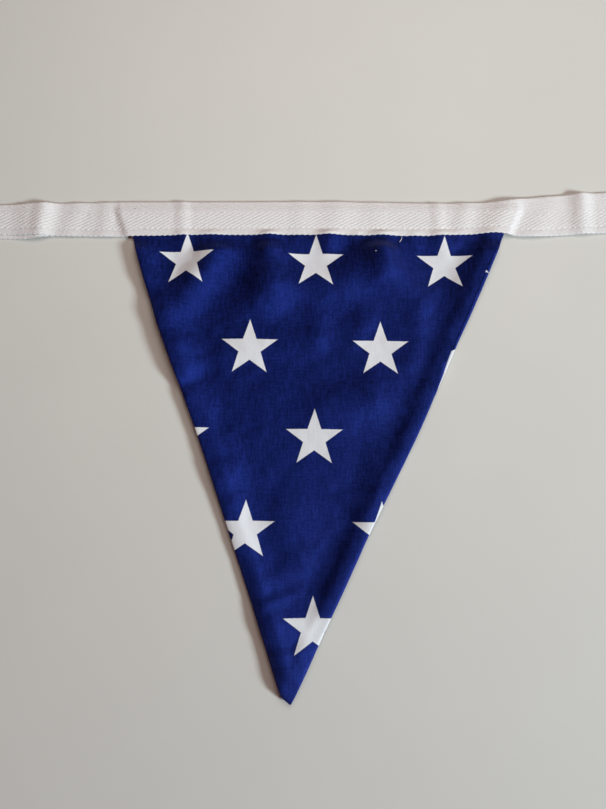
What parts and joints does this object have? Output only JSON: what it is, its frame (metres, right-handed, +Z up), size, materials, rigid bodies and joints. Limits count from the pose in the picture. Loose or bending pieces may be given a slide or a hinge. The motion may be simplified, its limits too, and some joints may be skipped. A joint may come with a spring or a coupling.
{
  "type": "fabric bunting pennant on folded tape",
  "caption": "Triangular pennant of star-print cotton, its raw top edge held in a herringbone tape folded lengthwise that runs on past both of its sides.",
  "frame": {"origin": "middle of the bounding box on the surface that the bunting lies on", "axes": "+X along the tape to the right as seen from above, +Y from the pennant's tip to the tape, +Z up from the surface, towards the front panel"},
  "size_m": [0.315, 0.2296, 0.0093],
  "materials": {
    "star_cotton": "matt plain-weave cotton, royal blue with white stars",
    "herringbone_tape": "matt white cotton twill tape"
  },
  "bodies": {
    "root": {"flag_front": "star_cotton", "flag_back": "star_cotton", "tape": "herringbone_tape"}
  },
  "joints": []
}
